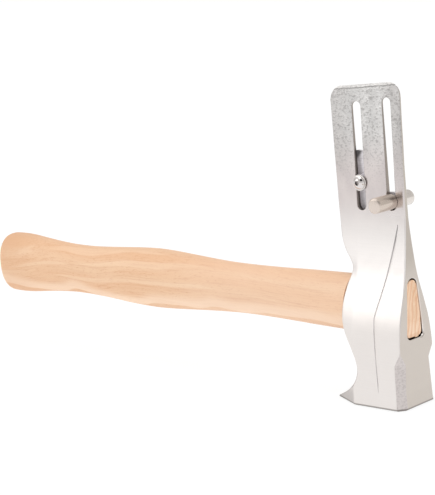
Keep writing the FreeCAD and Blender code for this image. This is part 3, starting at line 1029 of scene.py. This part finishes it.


def plate_steel():
    """Rolled grey steel, with painted shade on its face toward the blade, along its slanted top and its left
    side.
    """
    m = Material("rolled_grey_steel")
    x, y, z = m.axes()
    grain = m.noise(150, 150, 1400, detail=4)
    tone = m.mix(m.noise(90, 90, 90), (246, 242, 246), (234, 230, 234))
    tone = m.cover(tone, (160, 154, 162), m.ramp(grain, 0.4, 0.7), 0.25)
    wander = m.times(m.noise(260, 260, 120), 2 * MM)
    # painted shade where the blade and the slot's wall keep the light off the plate
    left = m.fall(m.plus(x, wander), -17.6, -16.9)
    top = m.rise(m.plus(m.minus(z, m.times(x, SHADE_SLOPE)), wander), 154.2, 157.2)
    plate_shade = m.times(m.most(left, top), m.rise(y, 2.8, 2.2))
    tone = m.cover(tone, (60, 58, 60), plate_shade, 0.8)
    rough = m.plus(0.33, m.times(grain, 0.15))
    return m.finish(Base_Color=tone, Metallic=0.35, Roughness=rough, Normal=m.bump(grain, 0.02, 0.6))



def post_steel():
    """Turned satin steel: painted light on the end face, which is mixed paler, painted shade on the rougher
    upper side, and a paler far post.
    """
    m = Material("turned_satin_steel")
    y = m.axes()[1]
    nx, ny, nz = m.facing()
    along = m.size(ny)
    rings = m.noise(40, 1500, 40)
    cloud = m.noise(120, 120, 120, detail=2)
    tone = m.mix(cloud, (214, 201, 190), (200, 187, 176))
    # painted light: the end faces are mixed paler than the sides
    tone = m.mix(m.ramp(along, 0.6, 0.9), tone, (216, 204, 195))
    tone = m.cover(tone, (226, 221, 216), m.rise(y, 0, 4), 0.8)
    # painted shade on the upper side near the blade
    upper_shade = m.times(m.ramp(nz, 0.1, 0.75), m.rise(y, -8.5, -3.5))
    upper_shade = m.times(upper_shade, m.ramp(m.noise(260, 260, 260), 0.3, 0.6))
    tone = m.cover(tone, (120, 110, 103), upper_shade, 0.1)
    rough = m.plus(0.17, m.times(rings, 0.1))
    rough = m.plus(rough, m.times(m.ramp(nz, 0.35, 0.8), 0.22))
    end_rim = m.times(m.ramp(along, 0.1, 0.25), m.ramp(along, 0.98, 0.9))
    rough = m.plus(rough, m.times(end_rim, 0.1))
    return m.finish(Base_Color=tone, Metallic=1.0, Roughness=rough, Normal=m.bump(rings, 0.005, 0.5))


def polished(name, tone_a, tone_b, base_rough):
    """Plated steel, or the socket's painted shade, with faint smears and scratches."""
    m = Material(name)
    smear = m.noise(420, 420, 420)
    scratch = m.noise(3000, 700, 200, detail=2)
    tone = m.mix(smear, tone_a, tone_b)
    rough = m.plus(base_rough, m.times(m.ramp(smear, 0.4, 0.75), 0.08))
    return m.finish(Base_Color=tone, Metallic=1.0, Roughness=rough, Normal=m.bump(scratch, 0.004, 0.4))


GRAIN_SLOPE = 0.0105  # the paler band follows the handle's axis
GRAIN_WANDER = 22
LAYER_LEAN = 0.27
LAYER_WANDER = 9
LAYER_WIDTH = 3.1


def beech(name, light, mid, dark, seed):
    """Steamed beech: broad soft streaks along X that wander, fine fibres, and its end grain."""
    m = Material(name)
    x, y, z = m.axes()
    shifted = m.vector("ADD", m.place, (seed, seed * 0.13, 0))
    drift = m.noise(8, 9, 9, shifted, detail=1)
    lift = m.add("ShaderNodeCombineXYZ", {"Z": m.times(drift, 0.03)}).outputs[0]
    waved = m.vector("ADD", shifted, lift)
    broad = m.noise(6, 70, 95, waved, rough=0.5)
    streak = m.noise(12, 240, 330, waved, detail=4, rough=0.6)
    thin = m.noise(28, 800, 950, waved, detail=4, rough=0.65)
    fibre = m.noise(60, 1700, 1700, waved)
    fleck = m.noise(330, 2400, 2400, waved, detail=1)
    lens = m.noise(9, 80, 170, waved, detail=2, distort=0.4)
    tone = m.mix(m.ramp(broad, 0.34, 0.66), light, mid)
    for layer, low, high, strength in ((streak, 0.5, 0.72, 0.26), (thin, 0.5, 0.68, 0.4),
                                       (fibre, 0.45, 0.75, 0.14), (fleck, 0.6, 0.7, 0.5)):
        tone = m.cover(tone, dark, m.ramp(layer, low, high), strength)
    tone = m.cover(tone, (252, 222, 192), m.ramp(lens, 0.58, 0.68), 0.4)
    # a paler band along the lower half, a paler fore end, and a browner butt and upper side
    height = m.plus(z, m.times(x, GRAIN_SLOPE))
    line = m.plus(height, m.times(m.noise(13, 9, 9, detail=2), GRAIN_WANDER * MM))
    tone = m.cover(tone, (255, 225, 198), m.between(line, 51.2, 52.1, 55.0, 60.5), 0.62)
    tone = m.cover(tone, dark, m.fall(line, 50.8, 51.6), 0.22)
    tone = m.cover(tone, (255, 228, 206), m.rise(x, -190, -100), 0.28)
    butt = m.fall(x, -325, -285)
    upper = m.times(m.rise(height, 58, 73), m.plus(0.26, m.times(butt, 0.34)))
    tone = m.mix(m.plus(m.times(butt, 0.3), upper), tone, (224, 176, 138))
    # end grain: growth layers across the tenon
    across = m.minus(y, m.times(z, LAYER_LEAN))
    across = m.plus(across, m.times(m.noise(90, 90, 45, detail=2), LAYER_WANDER * MM))
    growth = m.math("FRACT", m.times(across, 1 / (LAYER_WIDTH * MM)))
    late = m.times(m.ramp(growth, 0.3, 0.85), m.rest(m.ramp(growth, 0.88, 1.0)))
    end = m.ramp(m.facing()[0], 0.7, 0.9)
    tone = m.cover(tone, (252, 222, 192), end, 0.2)
    tone = m.mix(m.times(late, m.times(end, 0.5)), tone, (222, 158, 112))
    rough = m.plus(0.48, m.times(fibre, 0.12))
    return m.finish(Base_Color=tone, Roughness=rough, Normal=m.bump(fibre, 0.03, 0.3), Specular_IOR_Level=0.4)


def floor_white():
    """A plain pale floor that is mostly its own even light."""
    m = Material("white_floor")
    tone = m.mix(m.noise(3, 3, 3, detail=2), (0.93, 0.93, 0.93, 1), (0.96, 0.96, 0.96, 1))
    return m.finish(Base_Color=m.mix(0.8, tone, (0, 0, 0, 1)), Roughness=1.0,
                    Emission_Color=(1, 1, 1, 1), Emission_Strength=0.86, Specular_IOR_Level=0.0)


# ---- the pieces ----
chrome = polished("polished_chrome", (226, 221, 219), (214, 209, 208), 0.06)
fastener = polished("bright_zinc_steel", (226, 222, 218), (208, 203, 200), 0.24)
steel = head_steel()
panel_step_shade = panel_step_shade_paint()
# painted shade: a darker grey for the inside of the screw's socket
socket_shade = polished("socket_painted_shade", (168, 162, 160), (146, 140, 138), 0.25)
post_finish = post_steel()
wood = beech("beech_handle", (242, 204, 169), (238, 193, 155), (216, 159, 119), 0.0)
wedge_wood = beech("beech_wedge", (240, 200, 160), (230, 186, 144), (202, 150, 108), 0.31)

PIECES = [
    (make_head, "hatchet", "head", "head_steel", steel),
    (make_handle, "hatchet", "handle", "handle_wood", wood),
    (make_plate, "gauge", "gauge_plate", "gauge_steel", plate_steel()),
    (make_post_front, "gauge", "gauge_post_front", "post_steel", post_finish),
    (make_post_rear, "gauge", "gauge_post_rear", "post_steel", post_finish),
    (make_nut, "gauge", "clamp_nut", "fastener_steel", fastener),
    (make_washer, "washer", "clamp_washer", "fastener_steel", fastener),
    (make_screw, "screw", "clamp_screw", "screw_chrome", chrome),
]
for make, body, node, slot, finish in PIECES:
    piece = make()
    if not any(piece.data.materials):
        piece.data.materials.clear()
        piece.data.materials.append(finish)
    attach(piece, body)
    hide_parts(node)
for material_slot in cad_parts["handle_wedge"].material_slots:
    material_slot.material = wedge_wood


# ---- floor, light and camera ----
FLOOR_REACH = 60000
FLOOR_DROP = 0.5
STUDIO_TINT = (1.0, 0.985, 0.97, 1)
STUDIO_LEVEL = 0.74
# direction, angle where the change starts, angle where it is full, change of radiance
STUDIO_LOBES = [((-0.69, -0.70, 0.44), 23.5, 7, 1.5),
                ((0.60, -0.12, 0.79), 20, 12, 1.8),
                ((0.44, -0.63, 0.64), 23, 13, -0.73)]
# the lamp's place and size are in metres
LAMP_TARGET = (-0.06, 0, 0.08)
LAMP_DIRECTION = (-0.1, -0.15, 1.0)
LAMP_DISTANCE = 1.3
LAMP_SIDE = 1.0
LAMP_RADIANCE = 1.3
CAMERA_ANGLES = (44.66, 10.12, -5.01)  # azimuth, elevation and roll
CAMERA_DISTANCE = 925.9
CAMERA_TARGET = (-129.02, 0, 78.95)
CAMERA_LENS = 111.37
CAMERA_FAR = 200


def make_floor():
    """A wide floor just below the striking face."""
    reach = FLOOR_REACH
    corners = [(-reach, -reach, 0), (reach, -reach, 0), (reach, reach, 0), (-reach, reach, 0)]
    floor = make_object("floor", corners, [(0, 1, 2, 3)])
    floor.location.z = cad_low.z - FLOOR_DROP * MM
    floor.data.materials.append(floor_white())


def make_lamp():
    """A square soft light above the head."""
    lamp = bpy.data.lights.new("top", "AREA")
    lamp.shape = "RECTANGLE"
    lamp.size = lamp.size_y = LAMP_SIDE
    lamp.energy = LAMP_RADIANCE * math.pi * LAMP_SIDE**2
    obj = link(bpy.data.objects.new("top", lamp))
    toward = Vector(LAMP_DIRECTION).normalized()
    obj.location = Vector(LAMP_TARGET) + toward * LAMP_DISTANCE
    obj.rotation_euler = toward.to_track_quat("Z", "Y").to_euler()
    obj.visible_camera = False


def make_world():
    """An even pale studio with two soft glows and one dim patch, each in its own direction."""
    world = bpy.data.worlds.new("studio")
    bpy.context.scene.world = world
    world.use_nodes = True
    studio = Nodes(world.node_tree)
    where = studio.add("ShaderNodeTexCoord").outputs["Generated"]
    level = STUDIO_LEVEL
    for direction, outer, inner, change in STUDIO_LOBES:
        inputs = {0: where, 1: Vector(direction).normalized()}
        toward = studio.add("ShaderNodeVectorMath", inputs, operation="DOT_PRODUCT").outputs["Value"]
        edges = math.cos(math.radians(outer)), math.cos(math.radians(inner))
        level = studio.plus(studio.ramp(toward, *edges, change), level)
    background = studio.tree.nodes["Background"]
    studio.put(background.inputs["Color"], STUDIO_TINT)
    studio.put(background.inputs["Strength"], level)


def make_camera():
    """The three-quarter view from the front and the near cheek, a little above."""
    azimuth, elevation, roll = np.radians(CAMERA_ANGLES)
    turn = Matrix.Rotation(azimuth, 4, "Z") @ Matrix.Rotation(QUARTER - elevation, 4, "X")
    turn = turn @ Matrix.Rotation(roll, 4, "Z")
    data = bpy.data.cameras.new("camera")
    data.lens = CAMERA_LENS
    data.clip_end = CAMERA_FAR
    camera = link(bpy.data.objects.new("camera", data))
    away = Matrix.Translation((0, 0, CAMERA_DISTANCE * MM))
    camera.matrix_world = Matrix.Translation(Vector(CAMERA_TARGET) * MM) @ turn @ away
    bpy.context.scene.camera = camera


make_floor()
make_world()
make_lamp()
make_camera()
bpy.context.scene.view_settings.view_transform = "Standard"
